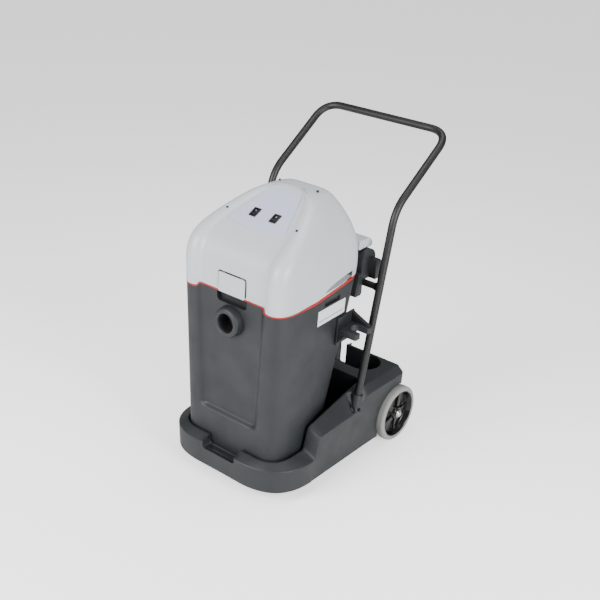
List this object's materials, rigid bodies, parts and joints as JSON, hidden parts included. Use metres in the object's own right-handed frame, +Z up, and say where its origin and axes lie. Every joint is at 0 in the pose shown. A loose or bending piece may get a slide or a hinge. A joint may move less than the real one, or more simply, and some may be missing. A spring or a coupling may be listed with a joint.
{
  "type": "wet and dry vacuum cleaner",
  "caption": "Wheeled wet-and-dry pick-up machine: tapered dark tank on a trolley with push handle, hinged light grey motor head with rocker switches, front latch and hose inlet.",
  "frame": {"origin": "on the floor, under the middle of the machine's box", "axes": "+Z up, -Y to the front with the hose inlet, +X to the side with the tool holder"},
  "size_m": [0.5676, 0.8, 1.0839],
  "materials": {
    "dark_moulding": "fine-textured dark grey moulding",
    "light_moulding": "smooth light grey moulding, satin",
    "control_plate": "smooth, slightly bluish white",
    "red_seal": "smooth red rubber",
    "black_plastic": "satin black",
    "soft_rubber": "matte black rubber",
    "black_tube": "glossy black paint on steel tube",
    "grey_tyre": "light grey non-marking rubber",
    "black_rim": "glossy black moulding",
    "float_plastic": "smooth plastic ball",
    "motor_can": "pressed metal",
    "bright_steel": "bright zinc-plated steel"
  },
  "bodies": {
    "trolley": {"trolley_base": "dark_moulding", "push_handle": "black_tube", "cross_tube": "black_tube", "handle_bolt_right": "bright_steel", "handle_bolt_left": "bright_steel", "rear_axle": "bright_steel", "axle_cap_right": "bright_steel", "axle_cap_left": "bright_steel"},
    "wheel_right": {"tyre_right": "grey_tyre", "rim_right": "black_rim"},
    "wheel_left": {"tyre_left": "grey_tyre", "rim_left": "black_rim"},
    "caster_right": {"caster_fork_right": "bright_steel", "caster_axle_right": "bright_steel"},
    "caster_left": {"caster_fork_left": "bright_steel", "caster_axle_left": "bright_steel"},
    "caster_roller_right": {"caster_wheel_right": "grey_tyre"},
    "caster_roller_left": {"caster_wheel_left": "grey_tyre"},
    "tank": {"container": "dark_moulding", "hose_inlet": "dark_moulding", "side_label": "control_plate", "tool_holder": "dark_moulding", "seal_ring": "red_seal", "rear_bracket": "dark_moulding", "hinge_pin": "bright_steel"},
    "head": {"head_cover": "light_moulding", "motor_deck": "dark_moulding", "motor_right": "motor_can", "motor_left": "motor_can", "motor_seal_right": "soft_rubber", "motor_seal_left": "soft_rubber", "control_panel": "control_plate", "switch_bezel_right": "black_plastic", "switch_bezel_left": "black_plastic", "cover_screw_front_right": "black_plastic", "cover_screw_front_left": "black_plastic", "cover_screw_rear_right": "black_plastic", "cover_screw_rear_left": "black_plastic", "float_cage": "dark_moulding", "hinge_cap": "light_moulding", "latch_pin": "bright_steel", "cable_gland": "black_plastic"},
    "latch": {"front_latch": "light_moulding"},
    "rocker_right": {"switch_rocker_right": "black_plastic"},
    "rocker_left": {"switch_rocker_left": "black_plastic"},
    "float": {"float_ball": "float_plastic"}
  },
  "joints": [
    {"name": "tank_lift", "type": "slide", "parent": "trolley", "child": "tank", "axis": [0, 0, 1], "range_m": [0, 0.3]},
    {"name": "head_hinge", "type": "hinge", "parent": "tank", "child": "head", "pos_m": [0, 0.083, 0.7], "axis": [-1, 0, 0], "range_deg": [0, 75]},
    {"name": "latch_flap", "type": "hinge", "parent": "head", "child": "latch", "pos_m": [0, -0.35225, 0.716], "axis": [-1, 0, 0], "range_deg": [0, 40]},
    {"name": "switch_right", "type": "hinge", "parent": "head", "child": "rocker_right", "pos_m": [0.0395, -0.21511, 0.87213], "axis": [1, 0, 0], "range_deg": [0, 18]},
    {"name": "switch_left", "type": "hinge", "parent": "head", "child": "rocker_left", "pos_m": [-0.0395, -0.21511, 0.87213], "axis": [1, 0, 0], "range_deg": [0, 18]},
    {"name": "float_rise", "type": "slide", "parent": "head", "child": "float", "axis": [0, 0, 1], "range_m": [0, 0.053]},
    {"name": "rear_wheel_right", "type": "hinge", "parent": "trolley", "child": "wheel_right", "pos_m": [0.26, 0.226, 0.1], "axis": [1, 0, 0], "continuous": true},
    {"name": "caster_swivel_right", "type": "hinge", "parent": "trolley", "child": "caster_right", "pos_m": [0.13, -0.235, 0.06], "axis": [0, 0, 1], "continuous": true},
    {"name": "caster_roll_right", "type": "hinge", "parent": "caster_right", "child": "caster_roller_right", "pos_m": [0.13, -0.217, 0.025], "axis": [1, 0, 0], "continuous": true},
    {"name": "rear_wheel_left", "type": "hinge", "parent": "trolley", "child": "wheel_left", "pos_m": [-0.26, 0.226, 0.1], "axis": [1, 0, 0], "continuous": true},
    {"name": "caster_swivel_left", "type": "hinge", "parent": "trolley", "child": "caster_left", "pos_m": [-0.13, -0.235, 0.06], "axis": [0, 0, 1], "continuous": true},
    {"name": "caster_roll_left", "type": "hinge", "parent": "caster_left", "child": "caster_roller_left", "pos_m": [-0.13, -0.217, 0.025], "axis": [1, 0, 0], "continuous": true}
  ]
}
